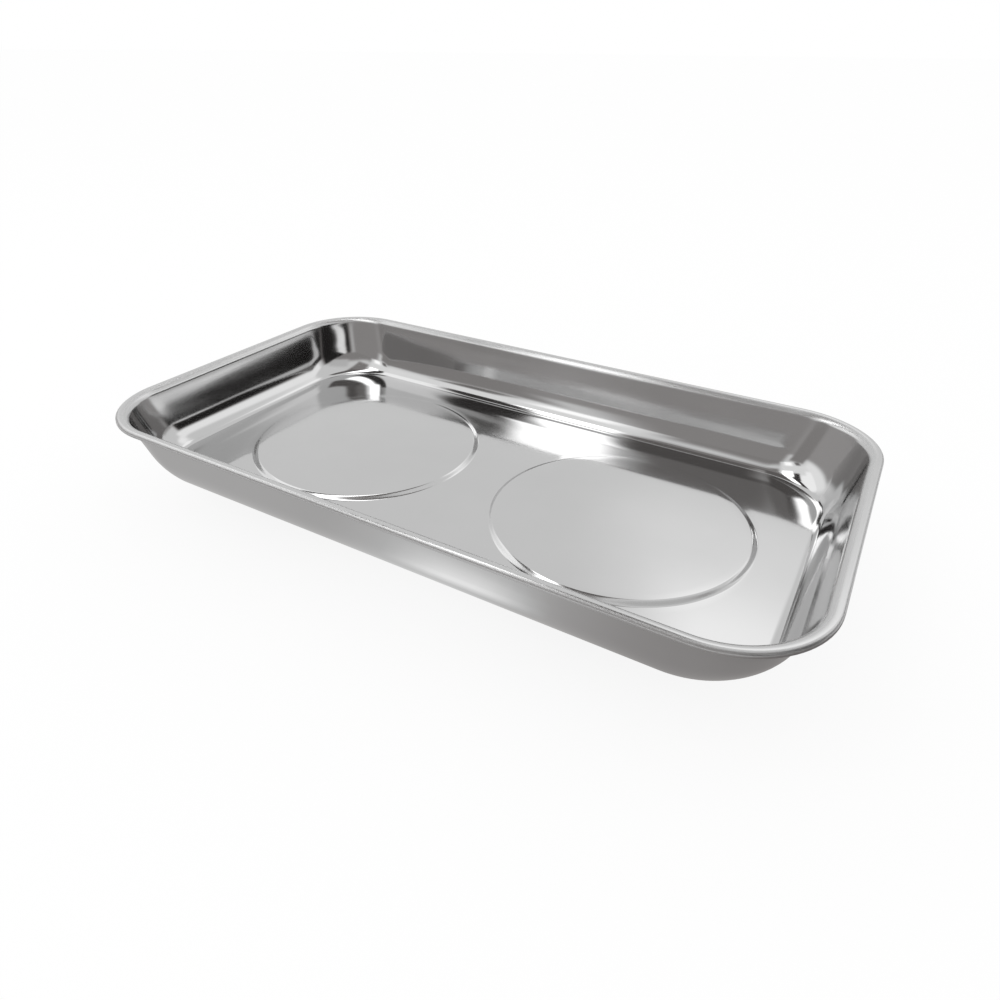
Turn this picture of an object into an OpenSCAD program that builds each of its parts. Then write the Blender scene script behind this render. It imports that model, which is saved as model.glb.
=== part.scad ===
// Magnetic parts tray: a pressed stainless pan on two rubber-booted ring magnets.
// The tray stands on the plane z = 0, with its middle over the origin and its long side along x.

/* [Pan] */
// Length over the rim
pan_length = 240; // [228:1:320]
// Width over the rim
pan_width = 138; // [126:1:200]
// Height of the pan, from the underside of the floor to the top of the rim
pan_height = 23.2; // [16:0.1:45]
// Corner radius of the rim's outer edge, seen from above
rim_corner_radius = 28.6; // [22:0.2:50]
// Thickness of the sheet
sheet_thickness = 0.6; // [0.4:0.05:1.2]
// Lean of the walls from upright, in degrees
wall_draft = 14.5; // [4:0.5:20]
// Inside radius of the curve at the foot of the wall
wall_curve = 20; // [10:1:26]
// Inside radius of the fillet between that curve and the floor
floor_fillet = 4; // [2:0.5:8]
// Slope of the sheet where the curve runs into the fillet, in degrees from level
fillet_slope = 50; // [40:1:65]

/* [Rim] */
// Width of the flat between the rim's two bends
rim_flat = 0.3; // [0.1:0.1:4]
// Radius under the bend from the wall to the rim
rim_bend = 2.4; // [0.8:0.1:4]
// Radius under the bend where the rim's edge turns down
edge_bend = 0.5; // [0.3:0.1:1.2]
// Straight length of the turned-down edge
edge_lip = 0.5; // [0.2:0.1:3]

/* [Raised discs in the floor] */
// Distance between the middles of the two discs
seat_spacing = 103.3; // [100:0.1:116]
// Height of the step up to a disc
step_height = 1.1; // [0.3:0.1:1.5]
// Width of the step, across the ring
step_width = 2.4; // [2:0.1:8]
// Free room between a boot and the edge of its disc
seat_clearance = 1.6; // [0.3:0.1:2]

/* [Ring magnets] */
// Outer diameter of a magnet
magnet_diameter = 72; // [60:1:76]
// Diameter of the hole through a magnet
magnet_hole = 32; // [24:1:40]
// Thickness of a magnet
magnet_thickness = 10; // [8:0.5:16]
// Chamfer on a magnet's edges
magnet_chamfer = 0.6; // [0.2:0.1:1]
// Thickness of the pad between a magnet and the floor
pad_thickness = 1; // [0.5:0.1:3]
// Free room round a pad
pad_clearance = 0.3; // [0.1:0.1:1]

/* [Rubber boots] */
// Thickness of a boot's side wall
boot_wall = 2.95; // [2:0.05:5]
// Thickness of a boot under the magnet
boot_web = 2; // [1.6:0.1:4]
// Free room between a boot and its magnet
boot_fit = 0.15; // [0.05:0.05:0.5]
// How far a boot's upper lip reaches in over the magnet
boot_lip = 5; // [2:0.5:8]
// Radius of a boot's lower edge
boot_edge_radius = 1.6; // [0.5:0.1:3]
// Number of ring grooves in a boot's foot
grip_count = 4; // [1:1:6]
// Width of a ring groove
grip_width = 1.2; // [0.5:0.1:2]
// Depth of a ring groove
grip_depth = 0.6; // [0.2:0.1:0.8]

/* [Retaining cups] */
// Thickness of a cup's sheet
cup_sheet = 1; // [0.6:0.1:1.4]
// Diameter of a cup's brim
cup_brim_diameter = 44; // [38:1:60]
// Inside radius of a cup's bends
cup_bend = 0.5; // [0.3:0.1:1]
// Free room round a cup, in the magnet's hole and in the boot
cup_fit = 0.3; // [0.1:0.1:0.8]
// Free room between a cup and the stud's weld flange
cup_gap = 0.4; // [0.2:0.1:1]

/* [Fasteners] */
// Thread diameter of a stud
stud_diameter = 5; // [4:0.5:6]
// Diameter of a stud's weld flange
stud_flange_diameter = 6.5; // [6:0.1:9]
// Thickness of a stud's weld flange
stud_flange_thickness = 0.8; // [0.5:0.1:1.2]
// Length of a stud past its nut
stud_past_nut = 1; // [0.5:0.1:1.5]
// Free room round a stud in a washer or a cup
stud_fit = 0.25; // [0.1:0.05:0.5]
// Free room between the threads of a stud and its nut
thread_fit = 0.05; // [0.02:0.01:0.1]
// Outer diameter of a flat washer
washer_diameter = 10; // [9:0.5:14]
// Thickness of a flat washer
washer_thickness = 1; // [0.5:0.1:1.5]
// Outer diameter of a spring lock washer
lock_washer_diameter = 9.2; // [8.5:0.1:12]
// Thickness of a spring lock washer
lock_washer_thickness = 1.2; // [0.8:0.1:1.5]
// Width of the slit in a spring lock washer
lock_washer_slit = 1; // [0.5:0.1:1.5]
// Width of a nut across its flats
nut_flats = 8; // [7.5:0.5:11]
// Thickness of a nut
nut_thickness = 4; // [2.5:0.1:5]

/* [Hidden] */

$fn = 96;
arc_steps = 8;
step_steps = 10;
left = -1;
right = 1;
// How far a cutting shape runs past what it cuts
overrun = 1;

// Shares of a nut: the washer face of its flats, and the lean of its corner chamfers
nut_face_share = 0.95;
nut_chamfer_angle = 30;
// Share of a stud's radius that its end chamfer takes
stud_chamfer_share = 0.2;

// Radii of the boot and of the disc that it sits under
magnet_radius = magnet_diameter / 2;
boot_bore_radius = magnet_radius + boot_fit;
boot_radius = boot_bore_radius + boot_wall;
disc_radius = boot_radius + seat_clearance;
step_radius = disc_radius + step_width;

// Levels, from the bench upwards
magnet_bottom = boot_web;
magnet_top = magnet_bottom + magnet_thickness;
ceiling = magnet_top + pad_thickness;
floor_bottom = ceiling - step_height;

// Section of the pan: r is measured out from the corner's centre, z up from the underside of the floor
curve_outer = wall_curve + sheet_thickness;
fillet_outer = floor_fillet + sheet_thickness;
bend_outer = rim_bend + sheet_thickness;
edge_outer = edge_bend + sheet_thickness;
// Distance from the rim's outer edge to the line of the wall's inner face
rim_width = edge_outer + rim_flat + bend_outer * tan((90 - wall_draft) / 2);
function wall_face(z) = rim_corner_radius - rim_width - (pan_height - z) * tan(wall_draft);
fillet_angle = fillet_slope - 90;
fillet_way = (wall_curve - floor_fillet) * [cos(fillet_angle), sin(fillet_angle)];
curve_z = sheet_thickness + floor_fillet - fillet_way[1];
curve_centre = [wall_face(curve_z - wall_curve * sin(wall_draft)) - wall_curve * cos(wall_draft), curve_z];
fillet_centre = curve_centre + fillet_way;
bend_z = pan_height - bend_outer;
bend_centre = [wall_face(bend_z) + bend_outer / cos(wall_draft), bend_z];
edge_centre = [rim_corner_radius - edge_outer, pan_height - edge_outer];
lip_end = edge_centre[1] - edge_lip;

// Half sizes of the plate between the corner centres
plate_half_x = pan_length / 2 - rim_corner_radius;
plate_half_y = pan_width / 2 - rim_corner_radius;

// Retaining cup
cup_radius = magnet_hole / 2 - cup_fit;
cup_bore_radius = cup_radius - cup_sheet;
cup_brim_radius = cup_brim_diameter / 2;
cup_brim_bottom = magnet_bottom - cup_sheet;
cup_top = ceiling - stud_flange_thickness - cup_gap;

// Fastener stack under the top of the cup
stud_radius = stud_diameter / 2;
stud_hole_radius = stud_radius + stud_fit;
washer_top = cup_top - cup_sheet;
lock_washer_top = washer_top - washer_thickness;
nut_top = lock_washer_top - lock_washer_thickness;
nut_bottom = nut_top - nut_thickness;
stud_end = nut_bottom - stud_past_nut;
nut_corner_radius = nut_flats / 2 / cos(30);
nut_face_radius = nut_flats / 2 * nut_face_share;
nut_chamfer = (nut_corner_radius - nut_face_radius) * tan(nut_chamfer_angle);

// Points of an arc round a centre
function arc(centre, radius, from, to) = [
    for (i = [0:arc_steps])
        let (a = from + (to - from) * i / arc_steps)
        centre + radius * [cos(a), sin(a)]
];

// Points of the smooth step up to a disc, from its foot inwards: half a cosine wave
function step_curve(z) = [
    for (i = [0:step_steps])
        let (u = i / step_steps)
        [step_radius - step_width * u, z + step_height * (1 - cos(180 * u)) / 2]
];

// Half section of the pan: floor, fillet, curve, wall, rim and turned-down edge, all of one thickness
module pan_section() {
    polygon(concat(
        [[0, 0]],
        arc(fillet_centre, fillet_outer, -90, fillet_angle),
        arc(curve_centre, curve_outer, fillet_angle, -wall_draft),
        arc(bend_centre, rim_bend, 180 - wall_draft, 90),
        arc(edge_centre, edge_bend, 90, 0),
        [[rim_corner_radius - sheet_thickness, lip_end], [rim_corner_radius, lip_end]],
        arc(edge_centre, edge_outer, 0, 90),
        arc(bend_centre, bend_outer, 90, 180 - wall_draft),
        arc(curve_centre, wall_curve, -wall_draft, fillet_angle),
        arc(fillet_centre, floor_fillet, fillet_angle, -90),
        [[0, sheet_thickness]]
    ));
}

// One straight side of the pan, its section facing +x
module pan_side(length) {
    rotate([90, 0, 0])
        linear_extrude(length, center = true)
            pan_section();
}

// Half of the pan before its disc is pressed, on the side of +x: plate, end, two half sides and two corners
module half_shell() {
    translate([0, -plate_half_y, 0])
        cube([plate_half_x, 2 * plate_half_y, sheet_thickness]);
    translate([plate_half_x, 0, 0])
        pan_side(2 * plate_half_y);
    for (flip = [0, 1]) {
        mirror([0, flip, 0]) {
            translate([plate_half_x / 2, plate_half_y, 0])
                rotate(90)
                    pan_side(plate_half_x);
            translate([plate_half_x, plate_half_y, 0])
                rotate_extrude(angle = 90)
                    pan_section();
        }
    }
}

// Solid under the step curve, down to a level
module step_form(z, down_to) {
    rotate_extrude()
        polygon(concat([[0, down_to], [step_radius, down_to]], step_curve(z), [[0, z + step_height]]));
}

// Puts a piece under one of the two discs
module at_seat(side) {
    translate([side * seat_spacing / 2, 0, 0])
        children();
}

// Half of the pan with its disc: the step is raised above the floor and pressed out from below
module pan_half() {
    difference() {
        union() {
            half_shell();
            at_seat(right)
                step_form(sheet_thickness, 0);
        }
        at_seat(right)
            step_form(0, -overrun);
    }
}

module tray_pan() {
    color("silver")
        translate([0, 0, floor_bottom])
            for (turn = [0, 180])
                rotate(turn)
                    pan_half();
}

// Threaded stud, welded by its flange to the underside of the floor
module weld_stud() {
    chamfer = stud_radius * stud_chamfer_share;
    flange_radius = stud_flange_diameter / 2;
    flange_bottom = ceiling - stud_flange_thickness;
    color("gainsboro")
        rotate_extrude()
            polygon([
                [0, stud_end],
                [stud_radius - chamfer, stud_end],
                [stud_radius, stud_end + chamfer],
                [stud_radius, flange_bottom],
                [flange_radius, flange_bottom],
                [flange_radius, ceiling],
                [0, ceiling]
            ]);
}

// Flat ring between two levels
module ring(outer_radius, inner_radius, bottom, thickness) {
    translate([0, 0, bottom])
        difference() {
            cylinder(r = outer_radius, h = thickness);
            translate([0, 0, -overrun])
                cylinder(r = inner_radius, h = thickness + 2 * overrun);
        }
}

// Pad inside the boot's upper lip, over the magnet
module cushion_pad() {
    outer_radius = magnet_radius - boot_lip - pad_clearance;
    inner_radius = magnet_hole / 2 + pad_clearance;
    color("dimgray")
        ring(outer_radius, inner_radius, magnet_top, pad_thickness);
}

// Ferrite ring with chamfered edges
module ring_magnet() {
    hole_radius = magnet_hole / 2;
    color("#3a3a3c")
        rotate_extrude()
            polygon([
                [hole_radius + magnet_chamfer, magnet_bottom],
                [magnet_radius - magnet_chamfer, magnet_bottom],
                [magnet_radius, magnet_bottom + magnet_chamfer],
                [magnet_radius, magnet_top - magnet_chamfer],
                [magnet_radius - magnet_chamfer, magnet_top],
                [hole_radius + magnet_chamfer, magnet_top],
                [hole_radius, magnet_top - magnet_chamfer],
                [hole_radius, magnet_bottom + magnet_chamfer]
            ]);
}

// Top-hat cup: its crown hangs on the stud and its brim carries the magnet
module retaining_cup() {
    crown_bend = cup_bend + cup_sheet;
    crown_centre = [cup_radius - crown_bend, cup_top - crown_bend];
    brim_centre = [cup_radius + cup_bend, magnet_bottom + cup_bend];
    color("lightsteelblue")
        rotate_extrude()
            polygon(concat(
                [[stud_hole_radius, cup_top]],
                arc(crown_centre, crown_bend, 90, 0),
                arc(brim_centre, cup_bend, 180, 270),
                [[cup_brim_radius, magnet_bottom], [cup_brim_radius, cup_brim_bottom]],
                arc(brim_centre, cup_bend + cup_sheet, 270, 180),
                arc(crown_centre, cup_bend, 0, 90),
                [[stud_hole_radius, cup_top - cup_sheet]]
            ));
}

module flat_washer() {
    color("lightsteelblue")
        ring(washer_diameter / 2, stud_hole_radius, lock_washer_top, washer_thickness);
}

// Spring washer pressed flat, with its slit towards +x
module lock_washer() {
    radius = lock_washer_diameter / 2;
    color("gray")
        difference() {
            ring(radius, stud_hole_radius, nut_top, lock_washer_thickness);
            translate([0, -lock_washer_slit / 2, nut_top - overrun])
                cube([radius + overrun, lock_washer_slit, lock_washer_thickness + 2 * overrun]);
        }
}

// Hexagon nut with chamfered corners
module hex_nut() {
    color("lightsteelblue")
        translate([0, 0, nut_bottom])
            difference() {
                intersection() {
                    cylinder(r = nut_corner_radius, h = nut_thickness, $fn = 6);
                    rotate_extrude()
                        polygon([
                            [0, 0],
                            [nut_face_radius, 0],
                            [nut_corner_radius, nut_chamfer],
                            [nut_corner_radius, nut_thickness - nut_chamfer],
                            [nut_face_radius, nut_thickness],
                            [0, nut_thickness]
                        ]);
                }
                translate([0, 0, -overrun])
                    cylinder(r = stud_radius + thread_fit, h = nut_thickness + 2 * overrun);
            }
}

// Moulded cover round the magnet: foot with ring grooves, side wall, and a lip over the magnet's upper edge
module rubber_boot() {
    lip_radius = magnet_radius - boot_lip;
    brim_recess_radius = cup_brim_radius + cup_fit;
    foot_outer = boot_radius - boot_edge_radius;
    foot_edge_centre = [foot_outer, boot_edge_radius];
    grip_pitch = (foot_outer - cup_bore_radius) / (grip_count + 1);
    color("#202022")
        difference() {
            rotate_extrude()
                polygon(concat(
                    [[cup_bore_radius, 0]],
                    arc(foot_edge_centre, boot_edge_radius, -90, 0),
                    [
                        [boot_radius, ceiling],
                        [lip_radius, ceiling],
                        [lip_radius, magnet_top],
                        [boot_bore_radius, magnet_top],
                        [boot_bore_radius, magnet_bottom],
                        [brim_recess_radius, magnet_bottom],
                        [brim_recess_radius, cup_brim_bottom],
                        [cup_bore_radius, cup_brim_bottom]
                    ]
                ));
            for (i = [1:grip_count])
                ring(cup_bore_radius + i * grip_pitch + grip_width / 2,
                     cup_bore_radius + i * grip_pitch - grip_width / 2,
                     grip_depth - overrun, overrun);
        }
}

tray_pan();
at_seat(left) weld_stud();  // left_weld_stud
at_seat(right) weld_stud();  // right_weld_stud
at_seat(left) cushion_pad();  // left_cushion_pad
at_seat(right) cushion_pad();  // right_cushion_pad
at_seat(left) ring_magnet();  // left_ring_magnet
at_seat(right) ring_magnet();  // right_ring_magnet
at_seat(left) retaining_cup();  // left_retaining_cup
at_seat(right) retaining_cup();  // right_retaining_cup
at_seat(left) flat_washer();  // left_flat_washer
at_seat(right) flat_washer();  // right_flat_washer
at_seat(left) lock_washer();  // left_lock_washer
at_seat(right) lock_washer();  // right_lock_washer
at_seat(left) hex_nut();  // left_hex_nut
at_seat(right) hex_nut();  // right_hex_nut
at_seat(left) rubber_boot();  // left_rubber_boot
at_seat(right) rubber_boot();  // right_rubber_boot
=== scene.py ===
"""Looks of a magnetic parts tray: a pressed stainless pan on two rubber-booted ring magnets.

Sizes are in metres and angles in degrees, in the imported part's own frame: x along the tray, y across it,
z up from the bench.
"""

import math

import bmesh
import bpy
import numpy as np
from mathutils import Matrix, Vector


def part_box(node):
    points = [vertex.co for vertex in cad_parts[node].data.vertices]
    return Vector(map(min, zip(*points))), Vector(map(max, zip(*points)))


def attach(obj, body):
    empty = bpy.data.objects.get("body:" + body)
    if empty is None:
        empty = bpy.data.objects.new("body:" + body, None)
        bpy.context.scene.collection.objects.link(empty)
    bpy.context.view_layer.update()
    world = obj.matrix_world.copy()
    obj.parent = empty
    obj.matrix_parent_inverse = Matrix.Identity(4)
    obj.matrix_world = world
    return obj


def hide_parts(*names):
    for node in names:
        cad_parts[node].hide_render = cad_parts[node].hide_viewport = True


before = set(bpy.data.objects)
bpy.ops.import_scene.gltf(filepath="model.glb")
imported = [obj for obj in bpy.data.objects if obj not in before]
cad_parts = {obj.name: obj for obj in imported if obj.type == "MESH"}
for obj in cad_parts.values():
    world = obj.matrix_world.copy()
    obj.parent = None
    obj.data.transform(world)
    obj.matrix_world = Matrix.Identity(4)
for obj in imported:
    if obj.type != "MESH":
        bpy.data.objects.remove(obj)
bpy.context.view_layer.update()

SIDES = (("left", -1), ("right", 1))
# Points nearer than this are one point
MERGE = 1e-7
# Points round a large piece, a middling one and a small one
LARGE_TURN = 145
MIDDLE_TURN = 97
SMALL_TURN = 73

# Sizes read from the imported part
pan_low, pan_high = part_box("tray_pan")
boot_low, boot_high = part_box("right_rubber_boot")
magnet_low, magnet_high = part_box("right_ring_magnet")
cup_low, cup_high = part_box("right_retaining_cup")
stud_low, stud_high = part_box("right_weld_stud")
HALF_LENGTH = pan_high.x
HALF_WIDTH = pan_high.y
FLOOR_LEVEL = pan_low.z
PAN_HEIGHT = pan_high.z - pan_low.z
SEAT_X = (stud_low.x + stud_high.x) / 2
CEILING = stud_high.z
STEP_HEIGHT = CEILING - FLOOR_LEVEL
BOOT_RADIUS = (boot_high.x - boot_low.x) / 2
MAGNET_RADIUS = (magnet_high.x - magnet_low.x) / 2
MAGNET_LOW = magnet_low.z
MAGNET_HIGH = magnet_high.z
CUP_BRIM = (cup_high.x - cup_low.x) / 2
CUP_BRIM_LOW = cup_low.z
CUP_TOP = cup_high.z
STUD_LOW = stud_low.z
STUD_HIGH = stud_high.z

# Pressed pan
SHEET = 0.0006
WALL_DRAFT = 14.5
WALL_CURVE = 0.02
FLOOR_FILLET = 0.004
FILLET_SLOPE = 50
RIM_CORNER = 0.0286
RIM_FLAT = 0.0003
RIM_BEND = 0.0024
EDGE_BEND = 0.0005
EDGE_LIP = 0.0005
LIP_ROUND = 0.0002
SEAT_CLEARANCE = 0.0016
STEP_WIDTH = 0.0024
DISC_RADIUS = BOOT_RADIUS + SEAT_CLEARANCE
STEP_RADIUS = DISC_RADIUS + STEP_WIDTH
# Points along half a long side, an end and a corner of the outline, and along the tray's middle line
SIDE_POINTS = 49
END_POINTS = 43
CORNER_POINTS = 25
MIDDLE_POINTS = 61
# Rings of points on the disc, as shares of its radius, on its step, and from there to the floor's edge
DISC_RING_SHARES = (0, 0.4, 0.75, 0.94)
STEP_RINGS = 25
FLAT_RING_SHARES = (0.1, 0.35, 0.7, 1)
# Satin left by the press on the steps, and in two bands of the rim: way in from its edge, width and strength
STEP_SATIN = 0.4
RIM_SATIN = ((0.0003, 0.0006, 1), (0.003, 0.0012, 0.8))
# Points of the section past the rim's outermost one that still bear satin
RIM_LIP_POINTS = 12
# Deep drawing leaves the base corners rounder than the rim's; the extra radius fades out below the rim
BASE_ROUNDING = 0.007
BASE_ROUNDING_GAP = 0.003
BASE_ROUNDING_TOP = PAN_HEIGHT - BASE_ROUNDING_GAP

# Magnets, pads and boots
MAGNET_HOLE = 0.016
MAGNET_CHAMFER = 0.0006
PAD_CLEARANCE = 0.0003
BOOT_FIT = 0.00015
BOOT_BORE = MAGNET_RADIUS + BOOT_FIT
BOOT_LIP = 0.005
FOOT_ROUND = 0.0016
GROOVES = 4
GROOVE_WIDTH = 0.0012
GROOVE_DEPTH = 0.0006
GROOVE_ROUND = 0.00025
PARTING_RIDGE = 0.00012
EDGE_CUT = 0.0004

# Retaining cups and fasteners
CUP_SHEET = 0.001
CUP_FIT = 0.0003
CUP_BEND = 0.0005
CUP_BORE = MAGNET_HOLE - CUP_FIT - CUP_SHEET
BRIM_RECESS = CUP_BRIM + CUP_FIT
SHEARED_CUT = 0.00012
STUD_RADIUS = 0.0025
STUD_HOLE = 0.00275
STUD_CHAMFER = 0.0005
FLANGE_RADIUS = 0.00325
FLANGE_THICKNESS = 0.0008
THREAD_PITCH = 0.0008
THREAD_DEPTH = 0.00045
# Steepness of the thread's flanks; above 1 it leaves flats on crest and root
THREAD_FORM = 1.4
THREAD_FIT = 0.00005
THREAD_ROWS = 150
LOCK_SLIT = 0.001
LOCK_TURN = 65
NUT_FACE_SHARE = 0.95
NUT_CHAMFER = 30

# Camera, worked out from the tray's outline in the photograph, in its pixels
IMAGE_SIZE = 1000
FOCAL_PIXELS = 726.09
CENTRE_PIXEL = (480, 480)
CAMERA_AZIMUTH = 30.77
CAMERA_ELEVATION = 30.71
CAMERA_ROLL = 0.53
CAMERA_DISTANCE = 0.25791
CAMERA_TARGET = (-0.00035, -0.00102, FLOOR_LEVEL)
SENSOR_MM = 36
NEAR_CLIP = 0.01

# Studio; the brightness of white paper in the open is about 1
TENT_RADIUS = 1.2
TENT_FOOT = -1
TENT_GRID = (181, 92)
TENT_WHITE = 0.88
# Tent: middle (bearing, rise), half sizes, soft edges, brightness and turn of each panel, in degrees;
# a later panel covers an earlier one
TENT_PANELS = {
    "back_glow": ((10, 37), (25, 7), (14, 8), 1.08, 0),
    "back_lamp": ((8, 45), (16, 7), (10, 7), 1.4, 0),
    "back_low_shade": ((25, 2), (12, 8), (8, 6), 0.35, 0),
    "back_side_glow": ((24, 33), (8, 5), (8, 6), 1.3, 0),
    "back_right_glow": ((44, 28), (14, 6), (8, 5), 1.25, 0),
    "left_glow": ((-98, 29), (30, 8), (14, 8), 1.2, 0),
    "front_left_glow": ((-130, 47), (22, 14), (10, 6), 1.12, 0),
    "left_low_shade": ((-128, 4), (52, 15), (10, 7), 0.42, 0),
    "front_left_shade": ((-143, 18), (11, 13), (5, 6), 0.32, 0),
    "front_shade": ((172, 18), (27, 29), (10, 12), 0.36, 0),
    "right_shade": ((104, 16), (36, 25), (14, 10), 0.02, 0),
    "right_gap": ((113.5, 23.4), (15, 4), (8, 2.5), 1.15, 31),
    "right_dark_flag": ((55, 12), (15, 9), (8, 5), 0.02, 0),
    "right_low_gap": ((53, -2), (16, 9), (10, 3), 1.1, 0),
}
# Flat top and card: middle, half sizes and soft edges in metres, brightness, and turn in degrees
TENT_TOP = 0.4
TENT_TOP_X = (-0.55, 0.45)
TENT_TOP_Y = (-0.5, 0.25)
TENT_TOP_GRID = (185, 149)
TOP_PANELS = {
    "front_right_shade": ((0.28, -0.3), (0.6, 0.165), (0.08, 0.12), 0.33, 47),
    "right_glow": ((0.28, -0.03), (0.16, 0.09), (0.08, 0.08), 0.7, 40),
    "left_lamp": ((-0.42, 0), (0.13, 0.2), (0.04, 0.08), 1.4, 0),
    "front_left_glow": ((-0.26, -0.3), (0.16, 0.17), (0.06, 0.06), 1.1, 0),
    "top_front_shade": ((-0.01, -0.12), (0.07, 0.13), (0.04, 0.06), 0.3, 0),
    "top_shade": ((-0.02, 0.065), (0.065, 0.13), (0.03, 0.04), 0.17, 0),
    "lamp_bracket": ((-0.238, -0.01), (0.05, 0.165), (0.025, 0.03), 0.06, -8),
    "strip_lamp": ((-0.135, 0), (0.04, 0.12), (0.025, 0.04), 3.4, 0),
    "strip_end": ((-0.168, -0.16), (0.055, 0.05), (0.03, 0.03), 3.4, 0),
    "front_lamp": ((-0.21, -0.41), (0.055, 0.06), (0.05, 0.06), 1.7, 0),
    "front_bracket": ((-0.37, -0.43), (0.05, 0.06), (0.04, 0.06), 0.22, 0),
}
BENCH_WHITE = 0.98
BENCH_SIZE = 60
BENCH_LIFT = 0.88
# Card on the bench, seen only in reflections: painted shade of the bench in front of the tray, darker to the
# right, and a painted glint
CARD_LEVEL = 0.0002
CARD_X = (-0.4, 0.5)
CARD_Y = (-0.3, 0.15)
CARD_GRID = (181, 121)
BENCH_SHADE_AND_GLINT_PANELS = {
    "left_bench_shade": ((-0.12, -0.09), (0.12, 0.11), (0.08, 0.03), 0.58, 0),
    "right_bench_shade": ((0.2, -0.09), (0.17, 0.11), (0.12, 0.03), 0.38, 0),
    "end_bench_shade": ((0.25, -0.03), (0.13, 0.07), (0.06, 0.04), 0.22, 0),
    "glint": ((0.02, -0.066), (0.018, 0.006), (0.03, 0.01), 1.25, 0),
}
SHADE_TINT = (1, 0.94, 0.92, 1)
FILL_LIGHT = 0.95
KEY_PLACE = (-0.5, -0.4, 0.9)
KEY_SIZE = 0.5
KEY_WATTS = 1


def arc(centre, radius, start, stop, steps):
    """Points round a centre between two angles in degrees: the centre plus the radius times (cos, sin)."""
    angle = np.radians(np.linspace(start, stop, steps))
    return np.array(centre) + radius * np.column_stack((np.cos(angle), np.sin(angle)))


def line(start, stop, steps):
    """Points between two points, without the ends: a straight share of the way."""
    share = np.linspace(0, 1, steps + 2)[1:-1, None]
    return (1 - share) * np.array(start) + share * np.array(stop)


def quads(rows, columns, first=0, flip=False):
    """Faces of a grid of points that is stored row by row: each joins a point to its next row and column."""
    row, column = np.meshgrid(np.arange(rows - 1), np.arange(columns - 1), indexing="ij")
    corner = (first + row * columns + column).ravel()
    faces = np.column_stack((corner, corner + columns, corner + columns + 1, corner + 1))
    return faces[:, ::-1] if flip else faces


def make_piece(name, points, faces, uv=None, sharp=None, **values):
    """A mesh object at the origin from points and faces, with merged seams and poles and smooth shading.

    The map is kept under the name sheet, and each further value of the points as an attribute of its name.
    """
    mesh = bpy.data.meshes.new(name)
    mesh.from_pydata(points.tolist(), [], faces.tolist())
    if uv is not None:
        corner = np.zeros(len(mesh.loops), np.int32)
        mesh.loops.foreach_get("vertex_index", corner)
        mesh.uv_layers.new(name="sheet").data.foreach_set("uv", uv[corner].astype(np.float32).ravel())
    for label, value in values.items():
        attribute = mesh.attributes.new(label, "FLOAT", "POINT")
        attribute.data.foreach_set("value", value.astype(np.float32).ravel())
    merged = bmesh.new()
    merged.from_mesh(mesh)
    bmesh.ops.remove_doubles(merged, verts=merged.verts, dist=MERGE)
    merged.to_mesh(mesh)
    merged.free()
    mesh.shade_smooth()
    if sharp is not None:
        mesh.set_sharp_from_angle(angle=math.radians(sharp))
    piece = bpy.data.objects.new(name, mesh)
    bpy.context.scene.collection.objects.link(piece)
    return piece


def pan_profile():
    """Section of the pressed sheet from the floor's edge over the rim and back under it.

    Arcs joined by straight runs, as (reach, height): reach is 0 at the rim's outer edge and negative inwards,
    and height is measured from the underside of the floor.
    """
    draft = math.radians(WALL_DRAFT)
    lean = math.cos(draft)
    bend_outer = RIM_BEND + SHEET
    edge_outer = EDGE_BEND + SHEET
    rim_width = edge_outer + RIM_FLAT + bend_outer * math.tan(math.pi / 4 - draft / 2)

    def wall(z):
        """Reach of the leaning wall's inner face at a height."""
        return -rim_width - (PAN_HEIGHT - z) * math.tan(draft)

    meeting = FILLET_SLOPE - 90
    towards = np.array([math.cos(math.radians(meeting)), math.sin(math.radians(meeting))])
    way = (WALL_CURVE - FLOOR_FILLET) * towards
    curve_z = SHEET + FLOOR_FILLET - way[1]
    curve = np.array([wall(curve_z - WALL_CURVE * math.sin(draft)) - WALL_CURVE * lean, curve_z])
    fillet = curve + way
    bend_z = PAN_HEIGHT - bend_outer
    bend = (wall(bend_z) + bend_outer / lean, bend_z)
    edge = (-edge_outer, PAN_HEIGHT - edge_outer)
    lip = edge[1] - EDGE_LIP + LIP_ROUND
    upright = 180 - WALL_DRAFT
    top = [
        arc(fillet, FLOOR_FILLET, -90, meeting, 14),
        arc(curve, WALL_CURVE, meeting, -WALL_DRAFT, 16)[1:],
        arc(bend, bend_outer, upright, 90, 14),
        arc(edge, edge_outer, 90, 0, 10),
        arc((-LIP_ROUND, lip), LIP_ROUND, 0, -90, 4),
    ]
    under = [
        arc((LIP_ROUND - SHEET, lip), LIP_ROUND, -90, -180, 4),
        arc(edge, EDGE_BEND, 0, 90, 6),
        arc(bend, RIM_BEND, 90, upright, 10),
        arc(curve, WALL_CURVE + SHEET, -WALL_DRAFT, meeting, 12),
        arc(fillet, FLOOR_FILLET + SHEET, meeting, -90, 10)[1:],
    ]
    runs = top + under
    joined = [runs[0]]
    for last, run in zip(runs, runs[1:]):
        joined += [line(last[-1], run[0], 4), run]
    return np.vstack(joined)


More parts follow.
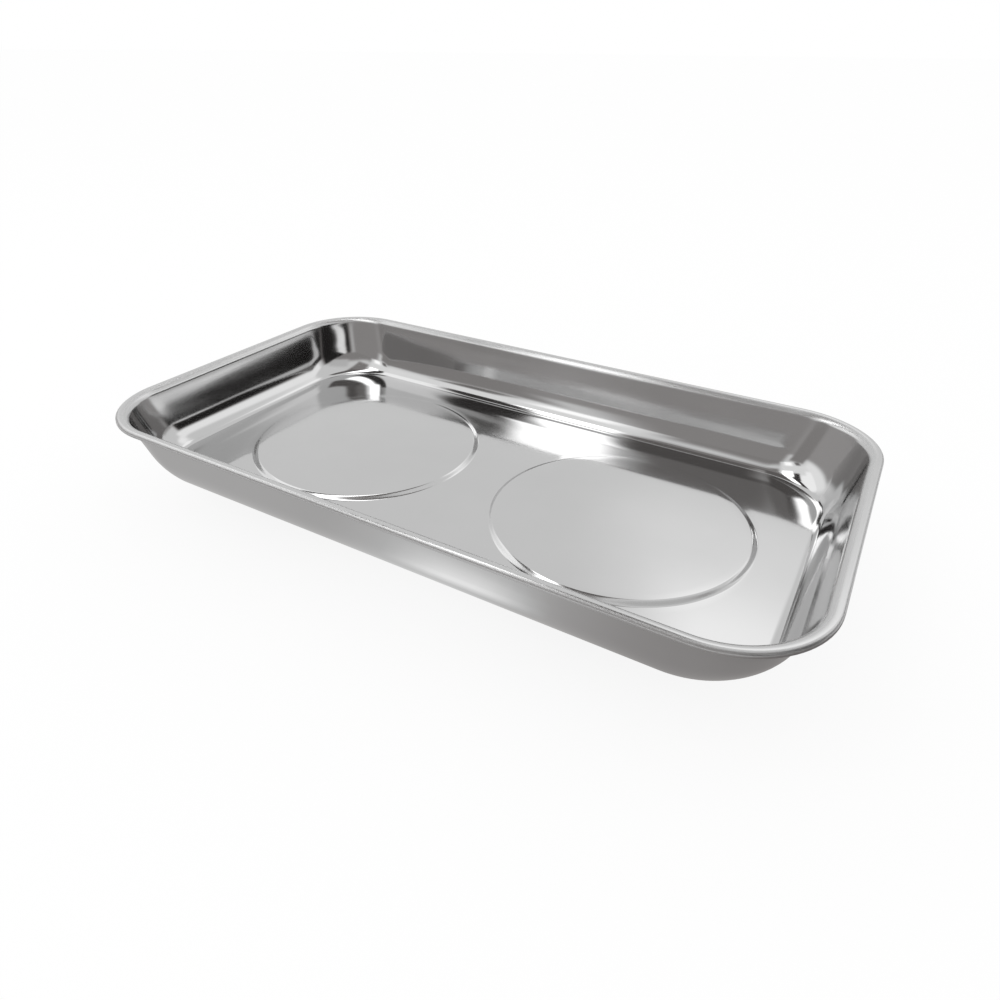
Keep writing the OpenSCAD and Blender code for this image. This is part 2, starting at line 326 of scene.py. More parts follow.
def outline_shares():
    """Half of a rounded rectangle, from the middle of one long side round the end to the other long side.

    A point is (share of the straight half sides) + (direction times the corner radius), so the same two lists
    give the outline at every level of the pan.
    """
    along = np.linspace(0, 1, SIDE_POINTS)[:-1]
    across = np.linspace(1, -1, END_POINTS)[1:-1]
    turn = np.radians(np.linspace(90, 0, CORNER_POINTS))
    one = np.ones_like
    corner_straight = np.column_stack((one(turn), one(turn)))
    corner_turn = np.column_stack((np.cos(turn), np.sin(turn)))
    below = np.array([1, -1])
    side_straight = np.column_stack((along, one(along)))
    side_turn = np.column_stack((0 * along, one(along)))
    end_straight = np.column_stack((one(across), across))
    end_turn = np.column_stack((one(across), 0 * across))
    straight = [side_straight, corner_straight, end_straight,
                below * corner_straight[::-1], below * side_straight[::-1]]
    direction = [side_turn, corner_turn, end_turn,
                 below * corner_turn[::-1], below * side_turn[::-1]]
    return np.vstack(straight), np.vstack(direction)


def disc_step(radius):
    """Height of the floor over a seat: full on the disc, falling over the step as half a cosine wave."""
    share = np.clip((radius - DISC_RADIUS) / STEP_WIDTH, 0, 1)
    return STEP_HEIGHT * (1 + np.cos(np.pi * share)) / 2


def floor_rays(edge):
    """Rays from the right seat's middle over the disc and its step, then straight out to the floor's edge.

    Returns plan points (ray, place, 2) and the disc's height at each place.
    """
    seat = np.array([SEAT_X, 0])
    away = edge - seat
    direction = away / np.linalg.norm(away, axis=1)[:, None]
    step = np.linspace(DISC_RADIUS, STEP_RADIUS, STEP_RINGS)
    radius = np.concatenate((DISC_RADIUS * np.array(DISC_RING_SHARES), step))
    share = np.array(FLAT_RING_SHARES)
    rings = seat + direction[:, None] * radius[None, :, None]
    foot = seat + direction * STEP_RADIUS
    flat = foot[:, None] * (1 - share)[None, :, None] + edge[:, None] * share[None, :, None]
    height = np.concatenate((disc_step(radius), 0 * share))
    return np.concatenate((rings, flat), axis=1), height


def pan_half():
    """Right half of the pan as grids of (round the half outline, along the section).

    The first grid runs from the seat's middle over the floor, wall and rim and back underneath. Two more
    close the floor, above and below, between the seat and the tray's middle line. Returns the points, the
    faces, each point's place in the flat blank, and its satin: bell curves across the rim, and on a step
    four times the share of its height times the rest.
    """
    profile = pan_profile()
    reach, height = profile[:, 0], profile[:, 1]
    corner = RIM_CORNER + reach + BASE_ROUNDING * (1 - np.clip(height / BASE_ROUNDING_TOP, 0, 1))
    half = np.column_stack((HALF_LENGTH + reach, HALF_WIDTH + reach))
    straight, direction = outline_shares()
    plan = (straight[:, None] * (half - corner[:, None])[None] + direction[:, None] * corner[None, :, None])
    level = np.broadcast_to(height[None, :, None], plan.shape[:2] + (1,))
    walls = np.concatenate((plan, level), axis=2)

    step = np.linalg.norm(np.diff(profile, axis=0), axis=1)
    drawn = np.concatenate(([0], np.cumsum(step)))
    drawn = np.minimum(drawn, drawn[-1] - drawn)
    blank = plan[:, :1] + direction[:, None] * drawn[None, :, None]

    def floor(edge, bottom):
        """Points on the rays to an edge, at the disc's height over a bottom level."""
        rays, raised = floor_rays(edge)
        lift = np.broadcast_to((raised + bottom)[None, :, None], rays.shape[:2] + (1,))
        return np.concatenate((rays, lift), axis=2)

    top, under = floor(plan[:, 0], SHEET), floor(plan[:, -1], 0)
    sheet = np.concatenate((top[:, :-1, :2], blank, under[:, -2::-1, :2]), axis=1)
    shell = np.concatenate((top[:, :-1], walls, under[:, -2::-1]), axis=1)
    rim = sum(strength * np.exp(-((reach + inset) / width) ** 2) for inset, width, strength in RIM_SATIN)
    rim[height < PAN_HEIGHT / 2] = 0
    rim[np.argmax(reach) + RIM_LIP_POINTS:] = 0
    raised = floor_rays(plan[:, 0])[1] / STEP_HEIGHT
    pressed = STEP_SATIN * 4 * raised * (1 - raised)
    satin = np.concatenate((pressed[:-1], rim, np.zeros(under.shape[1] - 1)))
    satin = np.broadcast_to(satin, shell.shape[:2])

    middle = np.linspace(-1, 1, MIDDLE_POINTS)
    gap_top = floor(np.column_stack((0 * middle, middle * plan[0, 0, 1])), SHEET)
    gap_under = floor(np.column_stack((0 * middle, middle * plan[0, -1, 1])), 0)
    grids = [(shell, sheet, satin, False)]
    for gap, flip in ((gap_top, False), (gap_under, True)):
        grids.append((gap, gap[..., :2], np.broadcast_to(pressed, gap.shape[:2]), flip))
    points, faces, uv, dull, count = [], [], [], [], 0
    for grid, blank_place, grid_satin, flip in grids:
        faces.append(quads(grid.shape[0], grid.shape[1], count, flip))
        points.append(grid.reshape(-1, 3))
        uv.append(blank_place.reshape(-1, 2))
        dull.append(grid_satin.reshape(-1))
        count += len(points[-1])
    return np.vstack(points), np.vstack(faces), np.vstack(uv), np.concatenate(dull)


def tray_pan():
    """The pan: its right half and the mirror image, lifted to the floor's level and merged in the middle."""
    points, faces, uv, satin = pan_half()
    points = points + np.array([0, 0, FLOOR_LEVEL])
    mirror = np.array([-1, 1, 1])
    both = np.vstack((points, points * mirror))
    both_faces = np.vstack((faces, faces[:, ::-1] + len(points)))
    both_uv = np.vstack((uv, uv * mirror[:2]))
    return make_piece("pressed_pan", both, both_faces, both_uv, satin=np.tile(satin, 2))


def soft_outline(corners, cut, steps=6):
    """A closed outline with rounded corners.

    Each corner is a curve of the second degree, which runs from the cut length before the corner to the cut
    length after it and leans on the corner itself.
    """
    corners, cut = np.array(corners), np.array(cut)[:, None]
    before = np.roll(corners, 1, axis=0) - corners
    after = np.roll(corners, -1, axis=0) - corners
    start = corners + cut * before / np.linalg.norm(before, axis=1)[:, None]
    stop = corners + cut * after / np.linalg.norm(after, axis=1)[:, None]
    s = np.linspace(0, 1, steps)[None, :, None]
    curve = (1 - s) ** 2 * start[:, None] + 2 * s * (1 - s) * corners[:, None] + s ** 2 * stop[:, None]
    outline = curve.reshape(-1, 2)
    return np.vstack((outline, outline[:1]))


def turned(middle, radius, turn, height):
    """Points round an upright axis: (middle + radius cos turn, radius sin turn, height)."""
    x, y = middle + radius * np.cos(turn), radius * np.sin(turn)
    return np.stack((x, y, np.broadcast_to(height, x.shape)), axis=2)


def grid_map(around, along):
    """Map of a grid of points: the place round the piece and the place along its section."""
    return np.stack(np.meshgrid(around, along, indexing="ij"), axis=2).reshape(-1, 2)


def revolved(name, outline, middle, steps=LARGE_TURN, limit=None, sharp=None, wear=None):
    """An outline of (radius, height) turned once round an upright axis.

    The limit, if there is one, is the largest radius at each angle. The outline runs against the clock, so
    the faces point outwards. Its map is (turn times the mean radius, length along the outline).
    """
    turn = np.linspace(0, 2 * math.pi, steps)
    radius = np.broadcast_to(outline[:, 0], (steps, len(outline)))
    if limit is not None:
        radius = np.minimum(radius, limit(turn)[:, None])
    grid = turned(middle, radius, turn[:, None], outline[:, 1])
    length = np.concatenate(([0], np.cumsum(np.linalg.norm(np.diff(outline, axis=0), axis=1))))
    uv = grid_map(turn * outline[:, 0].mean(), length)
    worn = {} if wear is None else {"wear": np.broadcast_to(wear, radius.shape)}
    return make_piece(name, grid.reshape(-1, 3), quads(*radius.shape), uv, sharp, **worn)


def rectangle(low, high):
    """Corners of an upright rectangle against the clock, from (radius, height) to (radius, height)."""
    return [low, (high[0], low[1]), high, (low[0], high[1])]


def rubber_boot(side, middle):
    """Section of the moulded cover: grooved foot, side with a parting line, lip over the magnet."""
    foot = BOOT_RADIUS - FOOT_ROUND
    pitch = (foot - CUP_BORE) / (GROOVES + 1)
    grooves = CUP_BORE + pitch * np.arange(1, GROOVES + 1)[:, None]
    groove_r = grooves + GROOVE_WIDTH / 2 * np.array([[-1, -1, 1, 1]])
    groove_z = np.broadcast_to(GROOVE_DEPTH * np.array([0, 1, 1, 0]), groove_r.shape)
    parting = (MAGNET_LOW + MAGNET_HIGH) / 2
    ridge = BOOT_RADIUS + PARTING_RIDGE
    corners = np.vstack((
        [(CUP_BORE, 0)],
        np.column_stack((groove_r.ravel(), groove_z.ravel())),
        [(BOOT_RADIUS, 0), (BOOT_RADIUS, parting - 2 * PARTING_RIDGE), (ridge, parting - PARTING_RIDGE),
         (ridge, parting + PARTING_RIDGE), (BOOT_RADIUS, parting + 2 * PARTING_RIDGE), (BOOT_RADIUS, CEILING),
         (MAGNET_RADIUS - BOOT_LIP, CEILING), (MAGNET_RADIUS - BOOT_LIP, MAGNET_HIGH),
         (BOOT_BORE, MAGNET_HIGH), (BOOT_BORE, MAGNET_LOW), (BRIM_RECESS, MAGNET_LOW),
         (BRIM_RECESS, CUP_BRIM_LOW), (CUP_BORE, CUP_BRIM_LOW)],
    ))
    small = PARTING_RIDGE / 2
    cut = np.concatenate((
        [EDGE_CUT], np.full(4 * GROOVES, GROOVE_ROUND),
        [FOOT_ROUND], np.full(4, small), [EDGE_CUT, EDGE_CUT], np.full(6, small),
    ))
    outline = soft_outline(corners, cut)
    wear = np.clip(1 - outline[:, 1] / FOOT_ROUND, 0, 1) ** 2 * (outline[:, 0] > CUP_BORE)
    return revolved(f"{side}_boot", outline, middle, wear=wear)


def retaining_cup(side, middle):
    """Section of the pressed hat: brim under the magnet, wall up its hole, crown with the stud's hole."""
    corners = [
        (CUP_BORE, CUP_BRIM_LOW), (CUP_BRIM, CUP_BRIM_LOW), (CUP_BRIM, CUP_BRIM_LOW + CUP_SHEET),
        (CUP_BORE + CUP_SHEET, CUP_BRIM_LOW + CUP_SHEET), (CUP_BORE + CUP_SHEET, CUP_TOP),
        (STUD_HOLE, CUP_TOP), (STUD_HOLE, CUP_TOP - CUP_SHEET), (CUP_BORE, CUP_TOP - CUP_SHEET),
    ]
    outer, inner = CUP_BEND + CUP_SHEET, CUP_BEND
    cut = [outer, EDGE_CUT, EDGE_CUT, inner, outer, SHEARED_CUT, SHEARED_CUT, inner]
    return revolved(f"{side}_cup", soft_outline(corners, cut, 8), middle, MIDDLE_TURN)


def ring_magnet(side, middle):
    """Section of the ferrite ring: a rectangle with its edges ground off."""
    corners = rectangle((MAGNET_HOLE, MAGNET_LOW), (MAGNET_RADIUS, MAGNET_HIGH))
    return revolved(f"{side}_magnet", soft_outline(corners, [MAGNET_CHAMFER] * 4, 4), middle, sharp=40)


def cushion_pad(side, middle):
    """Section of the foam ring between the magnet and the pan: a flat rectangle with soft edges."""
    low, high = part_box("right_cushion_pad")
    corners = rectangle((MAGNET_HOLE + PAD_CLEARANCE, low.z), ((high.x - low.x) / 2, high.z))
    return revolved(f"{side}_pad", soft_outline(corners, [EDGE_CUT] * 4, 5), middle)


def flat_washer(side, middle):
    """Section of the stamped washer: the punch draws one edge round and leaves the others sharp."""
    low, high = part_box("right_flat_washer")
    corners = rectangle((STUD_HOLE, low.z), ((high.x - low.x) / 2, high.z))
    cut = [SHEARED_CUT, EDGE_CUT, SHEARED_CUT, SHEARED_CUT]
    return revolved(f"{side}_washer", soft_outline(corners, cut, 5), middle, SMALL_TURN)


def lock_washer(side, middle):
    """A soft rectangle carried round the stud from one side of the slit to the other.

    The slit's sides are parallel, so a point starts at the angle whose sine is half the slit over its radius.
    """
    low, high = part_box("right_lock_washer")
    corners = rectangle((STUD_HOLE, low.z), ((high.x - low.x) / 2, high.z))
    outline = soft_outline(corners, [SHEARED_CUT] * 4, 4)
    gap = np.arcsin(LOCK_SLIT / 2 / outline[:, 0])
    share = np.linspace(0, 1, LOCK_TURN)[:, None]
    turn = gap + share * (2 * math.pi - 2 * gap)
    grid = turned(middle, outline[:, 0], turn, outline[:, 1])
    ends = np.broadcast_to(grid[[0, -1]].mean(axis=1)[:, None], (2,) + grid.shape[1:])
    grid = np.concatenate((ends[:1], grid, ends[1:]))
    uv = grid_map(np.arange(grid.shape[0]), np.arange(grid.shape[1])) * EDGE_CUT
    return make_piece(f"{side}_spring_washer", grid.reshape(-1, 3), quads(*grid.shape[:2]), uv, sharp=40)


def hex_nut(side, middle):
    """A chamfered section turned round the stud and kept inside a hexagon.

    The hexagon's radius is half the width across flats over the cosine of the angle from a flat's middle.
    """
    low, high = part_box("right_hex_nut")
    corner = (high.x - low.x) / 2
    flat = corner * math.cos(math.pi / 6)
    face = flat * NUT_FACE_SHARE
    lead = STUD_RADIUS + THREAD_DEPTH / 2
    slope = (corner - face) * math.tan(math.radians(NUT_CHAMFER))
    rise = np.linspace(0, 1, 9)
    chamfer = np.column_stack((face + (corner - face) * rise, low.z + slope * rise))
    mirrored = np.column_stack((chamfer[::-1, 0], high.z + low.z - chamfer[::-1, 1]))
    bore = STUD_RADIUS + THREAD_FIT
    outline = np.vstack(([(bore, low.z + lead - bore), (lead, low.z)], chamfer, mirrored,
                         [(lead, high.z), (bore, high.z - lead + bore), (bore, low.z + lead - bore)]))

    def hexagon(turn):
        """Radius of the hexagon at each angle."""
        return flat / np.cos(np.mod(turn, math.pi / 3) - math.pi / 6)

    return revolved(f"{side}_nut", outline, middle, MIDDLE_TURN, hexagon, sharp=20)


def weld_stud(side, middle):
    """A stud with a chamfered end and a flange, and a thread that is a function of turn and height.

    The radius falls from crest to root and back in each pitch, and the crest moves up one pitch in each turn.
    The thread runs out below the flange.
    """
    flange_low = STUD_HIGH - FLANGE_THICKNESS
    turn = np.linspace(0, 2 * math.pi, SMALL_TURN)[:, None]
    height = np.linspace(STUD_LOW, flange_low, THREAD_ROWS)[None]
    phase = np.mod(height / THREAD_PITCH - turn / (2 * math.pi), 1)
    depth = THREAD_DEPTH * np.clip((flange_low - height) / THREAD_PITCH, 0, 1)
    root = np.clip(THREAD_FORM * (1 - np.abs(2 * phase - 1)) - (THREAD_FORM - 1) / 2, 0, 1)
    radius = np.minimum(STUD_RADIUS - depth * root, STUD_RADIUS - STUD_CHAMFER + height - STUD_LOW)
    ends = np.ones_like(turn)
    radius = np.hstack((0 * ends, radius, FLANGE_RADIUS * ends, FLANGE_RADIUS * ends, 0 * ends))
    level = np.concatenate(([STUD_LOW], height[0], [flange_low, STUD_HIGH, STUD_HIGH]))
    grid = turned(middle, radius, turn, level)
    uv = grid_map(STUD_RADIUS * turn[:, 0], level)
    return make_piece(f"{side}_stud", grid.reshape(-1, 3), quads(*radius.shape), uv, sharp=35)


def place_camera():
    """Camera on a sphere round its target, turned a little about its axis, with its centre off the middle."""
    azimuth, elevation, roll = (math.radians(a) for a in (CAMERA_AZIMUTH, CAMERA_ELEVATION, CAMERA_ROLL))
    flat = math.cos(elevation)
    back = Vector((math.sin(azimuth) * flat, -math.cos(azimuth) * flat, math.sin(elevation)))
    level = Vector((math.cos(azimuth), math.sin(azimuth), 0))
    rise = back.cross(level)
    right = math.cos(roll) * level + math.sin(roll) * rise
    up = math.cos(roll) * rise - math.sin(roll) * level
    data = bpy.data.cameras.new("camera")
    data.sensor_width = SENSOR_MM
    data.lens = SENSOR_MM * FOCAL_PIXELS / IMAGE_SIZE
    data.shift_x = (IMAGE_SIZE / 2 - CENTRE_PIXEL[0]) / IMAGE_SIZE
    data.shift_y = (CENTRE_PIXEL[1] - IMAGE_SIZE / 2) / IMAGE_SIZE
    data.clip_start = NEAR_CLIP
    camera = bpy.data.objects.new("camera", data)
    bpy.context.scene.collection.objects.link(camera)
    turn = Matrix((right, up, back)).transposed().to_4x4()
    camera.matrix_world = Matrix.Translation(Vector(CAMERA_TARGET) + back * CAMERA_DISTANCE) @ turn
    bpy.context.scene.camera = camera


def add(tree, kind, inputs=None, **settings):
    """A shader node with its settings and its inputs, which are numbers, colours or other nodes' outputs."""
    made = tree.nodes.new("ShaderNode" + kind)
    for name, value in settings.items():
        setattr(made, name, value)
    for name, value in (inputs or {}).items():
        if isinstance(value, bpy.types.NodeSocket):
            tree.links.new(value, made.inputs[name])
        else:
            made.inputs[name].default_value = value
    return made


def noise(tree, place, size, detail=3, turn=0):
    """Noise with grains of a size in metres along each axis, turned about z by an angle in degrees."""
    moved = add(tree, "Mapping", {"Vector": place, "Rotation": (0, 0, math.radians(turn)), "Scale": size},
                vector_type="TEXTURE")
    return add(tree, "TexNoise", {"Vector": moved.outputs[0], "Scale": 1, "Detail": detail}).outputs["Fac"]


def ramp(tree, value, start, stop, first=0, last=1):
    """A value spread evenly from one range to another and held at its ends."""
    return add(tree, "MapRange", {"Value": value, "From Min": start, "From Max": stop,
                                  "To Min": first, "To Max": last}).outputs["Result"]


def combine(tree, operation, first, second):
    """Two values joined by one step of arithmetic."""
    return add(tree, "Math", {0: first, 1: second}, operation=operation).outputs[0]


def blend(tree, share, first, second):
    """A colour between two colours."""
    return add(tree, "Mix", {0: share, 6: first, 7: second}, data_type="RGBA").outputs[2]


def bump(tree, height, distance, below=None):
    """A surface raised by a height of nought to one times a distance in metres, over the bump below it."""
    inputs = {"Height": height, "Distance": distance}
    if below is not None:
        inputs["Normal"] = below
    return add(tree, "Bump", inputs).outputs[0]


def new_material(name, metallic=0):
    """A material, its node tree, its main shader, and the place that its patterns follow."""
    material = bpy.data.materials.new(name)
    material.use_nodes = True
    tree = material.node_tree
    shader = tree.nodes["Principled BSDF"]
    shader.inputs["Metallic"].default_value = metallic
    place = add(tree, "TexCoord").outputs["Object"]
    return material, tree, shader, place


def sheet_place(tree):
    """The place in a piece's own map, for patterns that follow its surface."""
    return add(tree, "UVMap", uv_map="sheet").outputs[0]


def finish_shader(tree, shader, colour, roughness, normal):
    """Joins the three patterns of a finish to its shader."""
    for name, output in (("Base Color", colour), ("Roughness", roughness), ("Normal", normal)):
        tree.links.new(output, shader.inputs[name])


def polished_stainless():
    """Bright-rolled sheet after deep drawing: a mirror with streaked walls, haze, fine marks and satin."""
    material, tree, shader, place = new_material("polished_stainless", 1)
    sheet = sheet_place(tree)
    satin = add(tree, "Attribute", attribute_name="satin").outputs["Fac"]
    height = add(tree, "SeparateXYZ", {0: place}).outputs["Z"]
    wall = ramp(tree, height, FLOOR_LEVEL + STEP_HEIGHT + SHEET, FLOOR_LEVEL + WALL_CURVE / 2)
    haze = noise(tree, place, (0.03, 0.03, 0.03), 4)
    unevenness = noise(tree, place, (0.03, 0.03, 0.03), 1)
    streaks = noise(tree, place, (0.06, 0.06, 0.006), 1)
    rolling = noise(tree, sheet, (0.015, 0.0003, 1), 2)
    marks = ramp(tree, noise(tree, sheet, (0.014, 0.0002, 1), 2, 24), 0.68, 0.74)
    for turn in (81, -38):
        crossing = ramp(tree, noise(tree, sheet, (0.011, 0.0002, 1), 2, turn), 0.69, 0.75)
        marks = combine(tree, "MAXIMUM", marks, crossing)
    colour = blend(tree, haze, (0.56, 0.56, 0.56, 1), (0.61, 0.61, 0.61, 1))
    roughness = ramp(tree, haze, 0.3, 0.7, 0.05, 0.09)
    for dull, share in ((marks, 0.05), (wall, 0.02), (satin, 0.3)):
        roughness = combine(tree, "ADD", roughness, combine(tree, "MULTIPLY", dull, share))
    normal = bump(tree, unevenness, 3e-5)
    normal = bump(tree, combine(tree, "MULTIPLY", streaks, wall), 5e-5, normal)
    normal = bump(tree, rolling, 2e-7, normal)
    normal = bump(tree, combine(tree, "SUBTRACT", 1, marks), 2e-7, normal)
    finish_shader(tree, shader, colour, roughness, normal)
    return material


def black_rubber():
    """Moulded rubber: matt black with a pale bloom, a fine skin, flow lines and a scuffed, dusty foot."""
    material, tree, shader, place = new_material("black_rubber")
    sheet = sheet_place(tree)
    wear = add(tree, "Attribute", attribute_name="wear").outputs["Fac"]
    bloom = noise(tree, place, (0.012, 0.012, 0.012), 4)
    skin = noise(tree, place, (0.0003, 0.0003, 0.0003), 2)
    flow = noise(tree, sheet, (0.02, 0.0006, 1), 2)
    patches = ramp(tree, noise(tree, place, (0.003, 0.003, 0.003), 3), 0.4, 0.65)
    dust = combine(tree, "MULTIPLY", wear, patches)
    moulded = blend(tree, ramp(tree, bloom, 0.35, 0.7), (0.018, 0.018, 0.019, 1), (0.04, 0.039, 0.038, 1))
    colour = blend(tree, ramp(tree, dust, 0, 1, 0, 0.6), moulded, (0.16, 0.155, 0.145, 1))
    clean = ramp(tree, bloom, 0.3, 0.7, 0.48, 0.62)
    roughness = combine(tree, "ADD", clean, combine(tree, "MULTIPLY", dust, 0.25))
    normal = bump(tree, flow, 4e-6)
    normal = bump(tree, skin, 1.2e-5, normal)
    finish_shader(tree, shader, colour, roughness, normal)
    return material


def ferrite():
    """Sintered ferrite: charcoal grey with fine paler grains, ground faces and small pits."""
    material, tree, shader, place = new_material("ferrite", 0.2)
    grains = noise(tree, place, (0.0004, 0.0004, 0.0004), 3)
    cloud = noise(tree, place, (0.008, 0.008, 0.008), 3)
    ground = noise(tree, place, (0.006, 0.0002, 0.006), 2, 12)
    pits = ramp(tree, noise(tree, place, (0.0009, 0.0009, 0.0009), 2), 0.3, 0.36)
    base = blend(tree, cloud, (0.035, 0.035, 0.038, 1), (0.06, 0.059, 0.06, 1))
    colour = blend(tree, ramp(tree, grains, 0.6, 0.72, 0, 0.5), base, (0.14, 0.14, 0.145, 1))
    roughness = ramp(tree, ground, 0.3, 0.7, 0.42, 0.6)
    normal = bump(tree, ground, 3e-6)
    normal = bump(tree, pits, 2e-5, normal)
    finish_shader(tree, shader, colour, roughness, normal)
    return material


def plated_steel(name, dull, bright, tint, rough):
    """Plated steel: a soft shine with cloudy colour, faint tool lines and small dull spots."""
    material, tree, shader, place = new_material(name, 1)
    sheet = sheet_place(tree)
    cloud = noise(tree, place, (0.004, 0.004, 0.004), 3)
    film = noise(tree, place, (0.009, 0.009, 0.009), 2)
    lines = noise(tree, sheet, (0.01, 0.0001, 1), 2)
    spots = ramp(tree, noise(tree, place, (0.0008, 0.0008, 0.0008), 2), 0.62, 0.7)
    plate = blend(tree, ramp(tree, cloud, 0.3, 0.7), dull, bright)
    tinted = blend(tree, ramp(tree, film, 0.45, 0.75, 0, 0.6), plate, tint)
    colour = blend(tree, ramp(tree, spots, 0, 1, 0, 0.4), tinted, dull)
    clear = ramp(tree, cloud, 0.3, 0.7, rough, rough + 0.12)
    roughness = combine(tree, "ADD", clear, combine(tree, "MULTIPLY", spots, 0.15))
    normal = bump(tree, lines, 1.5e-6)
    normal = bump(tree, cloud, 4e-6, normal)
    finish_shader(tree, shader, colour, roughness, normal)
    return material


def foam_pad():
    """Closed-cell foam: dark grey with a fine cell pattern and slightly paler cell walls."""
    material, tree, shader, place = new_material("foam_pad")
    pattern = add(tree, "TexVoronoi", {"Vector": place, "Scale": 2200}, feature="DISTANCE_TO_EDGE")
    cells = pattern.outputs["Distance"]
    shade = noise(tree, place, (0.01, 0.01, 0.01), 3)
    base = blend(tree, shade, (0.03, 0.03, 0.032, 1), (0.06, 0.06, 0.062, 1))
    colour = blend(tree, ramp(tree, cells, 0, 0.12, 0.5, 0), base, (0.12, 0.12, 0.12, 1))
    roughness = ramp(tree, shade, 0.3, 0.7, 0.8, 0.95)
    finish_shader(tree, shader, colour, roughness, bump(tree, ramp(tree, cells, 0, 0.2), 4e-5))
    return material


def soft_panel(glow, across, along, half, soft, level, turn):
    """Glow blended to a level inside a rectangle turned by an angle in degrees.

    Over each soft edge the share of the level rises as 3 s^2 - 2 s^3, where s is the share of the way in.
    """
    c, s = math.cos(math.radians(turn)), math.sin(math.radians(turn))
    mask = np.ones_like(glow)
    for place, reach, edge in zip((c * across + s * along, c * along - s * across), half, soft):
        share = np.clip((reach + edge / 2 - np.abs(place)) / edge, 0, 1)
        mask = mask * share * share * (3 - 2 * share)
    return glow + (level - glow) * mask


def tent_glow(x, y, z):
    """Brightness of the tent in a direction: soft panels by bearing, from +y to +x, and by rise."""
    bearing, rise = np.degrees(np.arctan2(x, y)), np.degrees(np.arctan2(z, np.hypot(x, y)))
    glow = np.full(bearing.shape, TENT_WHITE)
    for middle, *panel in TENT_PANELS.values():
        glow = soft_panel(glow, np.mod(bearing - middle[0] + 180, 360) - 180, rise - middle[1], *panel)
    return glow


def flat_glow(x, y, glow, panels):
    """Brightness of a flat sheet over the bench, with soft panels by place, in metres."""
    for middle, *panel in panels.values():
        glow = soft_panel(glow, x - middle[0], y - middle[1], *panel)
    return glow


def reflector(name, grid, glow):
    """A sheet of the studio that shows only in reflections, and glows as its points say."""
    piece = make_piece(name, grid.reshape(-1, 3), quads(*glow.shape), glow=glow)
    material = bpy.data.materials.new(name)
    material.use_nodes = True
    material.cycles.emission_sampling = "NONE"
    tree = material.node_tree
    tree.nodes.clear()
    level = add(tree, "Attribute", attribute_name="glow").outputs["Fac"]
    tint = blend(tree, ramp(tree, level, 0.15, 0.7), SHADE_TINT, (1, 1, 1, 1))
    light = add(tree, "Emission", {"Color": tint, "Strength": level})
    add(tree, "OutputMaterial", {"Surface": light.outputs[0]})
    piece.data.materials.append(material)
    piece.visible_camera = False
    piece.visible_diffuse = False
    piece.visible_shadow = False


def level_sheet(along, across, counts, level):
    """A level grid of points over a range of x and a range of y, with its x and y."""
    x, y = np.meshgrid(np.linspace(*along, counts[0]), np.linspace(*across, counts[1]), indexing="ij")
    return np.stack((x, y, np.full(x.shape, level)), axis=2), x, y


def light_tent():
    """A dome of soft panels, the tent's flat top with its lamps, and a card round the tray with painted bench
    shade and glint.
    """
    around, upwards = np.linspace(0, 360, TENT_GRID[0]), np.linspace(TENT_FOOT, 90, TENT_GRID[1])
    bearing, rise = np.meshgrid(np.radians(around), np.radians(upwards), indexing="ij")
    x, y, z = np.sin(bearing) * np.cos(rise), np.cos(bearing) * np.cos(rise), np.sin(rise)
    dome = TENT_RADIUS * np.stack((x, y, z), axis=2) + np.array([0, 0, FLOOR_LEVEL])
    reflector("light_tent", dome, tent_glow(x, y, z))

    top, x, y = level_sheet(TENT_TOP_X, TENT_TOP_Y, TENT_TOP_GRID, TENT_TOP)
    reflector("tent_top", top, flat_glow(x, y, tent_glow(x, y, TENT_TOP - FLOOR_LEVEL), TOP_PANELS))

    # Painted shade of the bench and a painted glint, seen only in reflections
    card, x, y = level_sheet(CARD_X, CARD_Y, CARD_GRID, CARD_LEVEL)
    reflector("painted_bench_shade_card", card, flat_glow(x, y, np.full(x.shape, BENCH_WHITE), BENCH_SHADE_AND_GLINT_PANELS))


def seen_directly(tree):
    """One for what the camera sees, also in a reflection or through glass, and nought for scattered light."""
    path = add(tree, "LightPath").outputs
    mirrored = combine(tree, "MAXIMUM", path["Is Glossy Ray"], path["Is Transmission Ray"])
    return combine(tree, "MAXIMUM", path["Is Camera Ray"], mirrored)


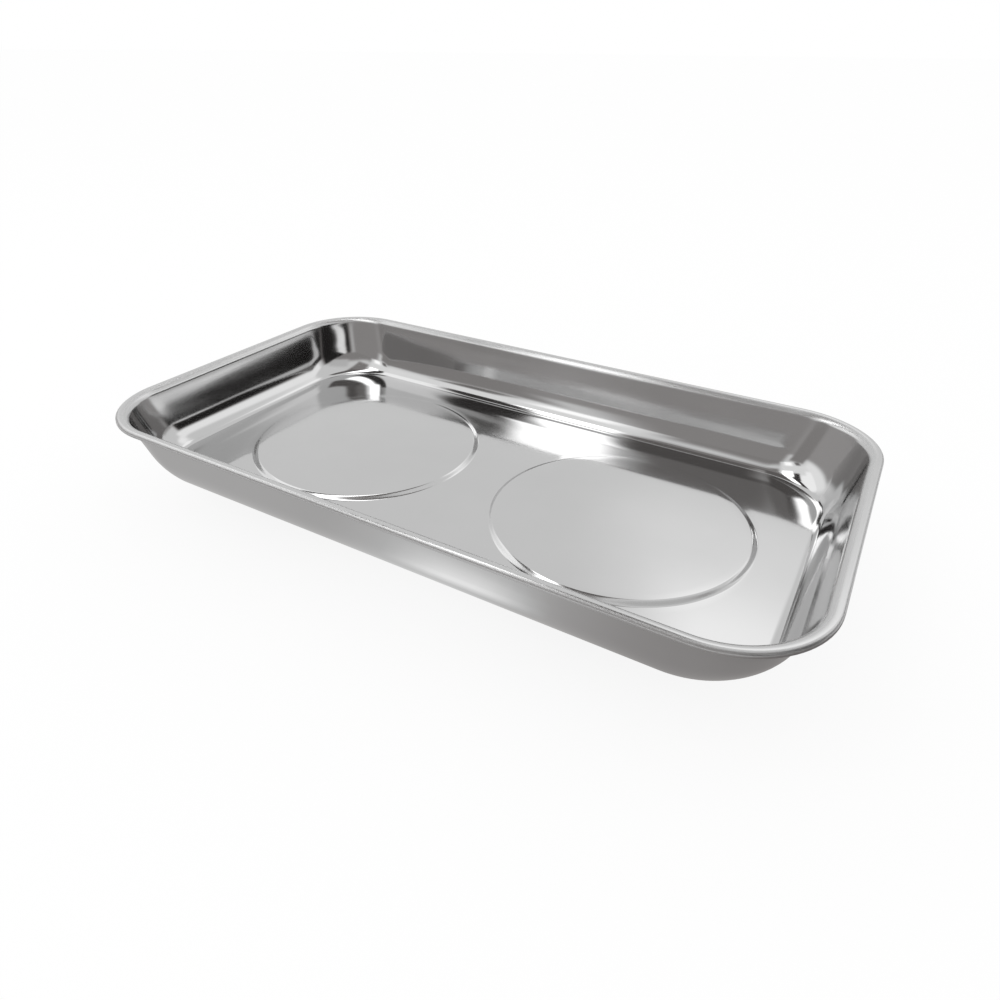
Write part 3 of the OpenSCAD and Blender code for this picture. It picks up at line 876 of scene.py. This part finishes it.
def studio():
    """White surroundings, a soft key lamp, and a pale bench that keeps the shadow and is clear from below."""
    world = bpy.data.worlds.new("studio")
    world.use_nodes = True
    tree = world.node_tree
    strength = ramp(tree, seen_directly(tree), 0, 1, FILL_LIGHT, 1)
    tree.links.new(strength, tree.nodes["Background"].inputs["Strength"])
    tree.nodes["Background"].inputs["Color"].default_value = (1, 1, 1, 1)
    bpy.context.scene.world = world

    lamp = bpy.data.lights.new("key_lamp", "AREA")
    lamp.shape = "DISK"
    lamp.size = KEY_SIZE
    lamp.energy = KEY_WATTS
    key = bpy.data.objects.new("key_lamp", lamp)
    key.location = KEY_PLACE
    key.rotation_euler = Vector(KEY_PLACE).to_track_quat("Z", "Y").to_euler()
    key.visible_glossy = False
    bpy.context.scene.collection.objects.link(key)

    far = BENCH_SIZE / 2
    corners = np.array([(-far, -far, 0), (far, -far, 0), (far, far, 0), (-far, far, 0)], float)
    bench = make_piece("bench", corners, np.array([[0, 1, 2, 3]]))
    paper = bpy.data.materials.new("pale_paper")
    paper.use_nodes = True
    tree = paper.node_tree
    tree.nodes.clear()
    matt = add(tree, "BsdfDiffuse", {"Color": (BENCH_WHITE, BENCH_WHITE, BENCH_WHITE, 1)})
    white = add(tree, "Emission", {"Strength": 1})
    share = ramp(tree, seen_directly(tree), 0, 1, 0, BENCH_LIFT)
    lifted = add(tree, "MixShader", {0: share, 1: matt.outputs[0], 2: white.outputs[0]})
    back = add(tree, "NewGeometry").outputs["Backfacing"]
    clear = add(tree, "BsdfTransparent")
    open_below = add(tree, "MixShader", {0: back, 1: lifted.outputs[0], 2: clear.outputs[0]})
    add(tree, "OutputMaterial", {"Surface": open_below.outputs[0]})
    bench.data.materials.append(paper)


def dress(piece, material, node):
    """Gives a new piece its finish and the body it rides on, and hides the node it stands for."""
    piece.data.materials.append(material)
    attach(piece, "root")
    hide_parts(node)


dress(tray_pan(), polished_stainless(), "tray_pan")

zinc = plated_steel("zinc_plated_steel", dull=(0.5, 0.51, 0.53, 1), bright=(0.68, 0.7, 0.73, 1),
                    tint=(0.66, 0.63, 0.56, 1), rough=0.26)
spring = plated_steel("spring_steel", dull=(0.1, 0.1, 0.1, 1), bright=(0.2, 0.195, 0.19, 1),
                      tint=(0.17, 0.15, 0.17, 1), rough=0.34)
FITTINGS = (
    ("rubber_boot", rubber_boot, black_rubber(), "black_rubber"),
    ("ring_magnet", ring_magnet, ferrite(), "ferrite"),
    ("cushion_pad", cushion_pad, foam_pad(), "foam_pad"),
    ("retaining_cup", retaining_cup, zinc, "zinc_plated_steel"),
    ("flat_washer", flat_washer, zinc, "zinc_plated_steel"),
    ("lock_washer", lock_washer, spring, "spring_steel"),
    ("hex_nut", hex_nut, zinc, "zinc_plated_steel"),
    ("weld_stud", weld_stud, zinc, "zinc_plated_steel"),
)
for side, sign in SIDES:
    for node, make, material, slot in FITTINGS:
        dress(make(side, sign * SEAT_X), material, f"{side}_{node}")

place_camera()
light_tent()
studio()
bpy.context.scene.view_settings.view_transform = "Standard"
